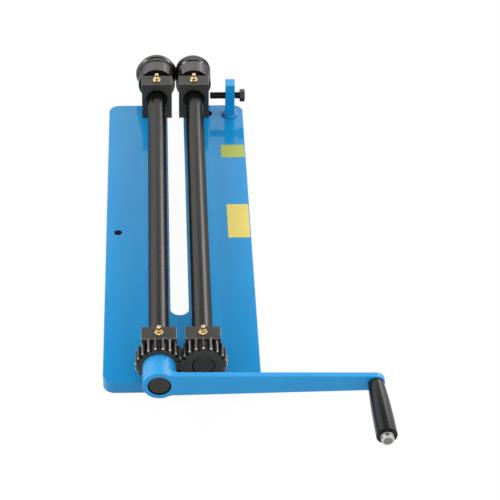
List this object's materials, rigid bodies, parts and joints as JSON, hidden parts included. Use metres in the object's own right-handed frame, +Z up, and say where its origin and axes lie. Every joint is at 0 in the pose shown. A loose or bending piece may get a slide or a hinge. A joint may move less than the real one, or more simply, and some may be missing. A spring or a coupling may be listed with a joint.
{
  "type": "bead roller",
  "caption": "Bench bead roller: geared shafts on a slotted base plate, crank with turning grip, bead and groove dies, and a side screw that sets the die gap.",
  "frame": {"origin": "underside of the base plate, midway between the two shafts and under the centres of the near bearing blocks", "axes": "+X across the shafts towards the driven shaft and the adjuster, +Y along the shafts towards the dies, +Z up out of the plate"},
  "size_m": [0.3238, 0.7374, 0.0828],
  "materials": {
    "blue_paint": "semi-gloss blue enamel on steel plate",
    "crank_paint": "gloss blue powder coat on cast steel",
    "block_steel": "blackened steel, satin",
    "shaft_steel": "dark oiled steel bar, turned",
    "die_steel": "turned and blackened tool steel",
    "gear_steel": "blackened gear steel",
    "bolt_steel": "black oxide",
    "plain_steel": "bright turned steel",
    "bronze": "sintered bronze",
    "brass": "bright yellow-passivated",
    "grip_black": "satin black plastic"
  },
  "bodies": {
    "frame": {"base_plate": "blue_paint", "adjuster_post": "blue_paint", "near_drive_block": "block_steel", "near_drive_bush": "bronze", "near_drive_nipple": "brass", "near_drive_block_bolt": "bolt_steel", "near_drive_block_washer": "plain_steel", "far_drive_block": "block_steel", "far_drive_bush": "bronze", "far_drive_nipple": "brass", "far_drive_block_bolt": "bolt_steel", "far_drive_block_washer": "plain_steel"},
    "driven_bearings": {"near_driven_block": "block_steel", "near_driven_bush": "bronze", "near_driven_nipple": "brass", "near_driven_block_bolt": "bolt_steel", "near_driven_block_washer": "plain_steel", "far_driven_block": "block_steel", "far_driven_bush": "bronze", "far_driven_nipple": "brass", "far_driven_block_bolt": "bolt_steel", "far_driven_block_washer": "plain_steel"},
    "drive_line": {"drive_shaft": "shaft_steel", "drive_gear": "gear_steel", "drive_gear_key": "plain_steel", "drive_spacer": "block_steel", "bead_die": "die_steel", "drive_die_key": "plain_steel", "drive_end_washer": "plain_steel", "drive_end_bolt": "bolt_steel", "crank": "crank_paint", "crank_grub_screw": "bolt_steel", "grip_spindle": "plain_steel", "grip_washer": "bolt_steel"},
    "driven_line": {"driven_shaft": "shaft_steel", "driven_gear": "gear_steel", "driven_gear_key": "plain_steel", "driven_spacer": "block_steel", "groove_die": "die_steel", "driven_die_key": "plain_steel", "driven_end_washer": "plain_steel", "driven_end_bolt": "bolt_steel"},
    "grip": {"grip": "grip_black"},
    "adjusting_screw": {"adjusting_screw": "bolt_steel"}
  },
  "joints": [
    {"name": "crank_spin", "type": "hinge", "parent": "frame", "child": "drive_line", "pos_m": [-0.025, 0, 0.0485], "axis": [0, 1, 0], "continuous": true},
    {"name": "die_gap_swing", "type": "hinge", "parent": "frame", "child": "driven_bearings", "pos_m": [0.025, 0, 0.017], "axis": [0, 0, 1], "range_deg": [-0.9, 0.09]},
    {"name": "driven_spin", "type": "hinge", "parent": "driven_bearings", "child": "driven_line", "pos_m": [0.025, 0, 0.0485], "axis": [0, 1, 0], "continuous": true},
    {"name": "grip_spin", "type": "hinge", "parent": "drive_line", "child": "grip", "pos_m": [0.2178, -0.0635, 0.0485], "axis": [0.0497, -0.9988, 0], "continuous": true},
    {"name": "adjusting_screw_travel", "type": "slide", "parent": "frame", "child": "adjusting_screw", "axis": [-1, 0, 0], "range_m": [-0.008, 0.0008]}
  ],
  "couplings": [
    {"joint": "driven_spin", "follows": "crank_spin", "ratio": -1},
    {"joint": "adjusting_screw_travel", "follows": "die_gap_swing", "m_per_rad": 0.5083}
  ]
}
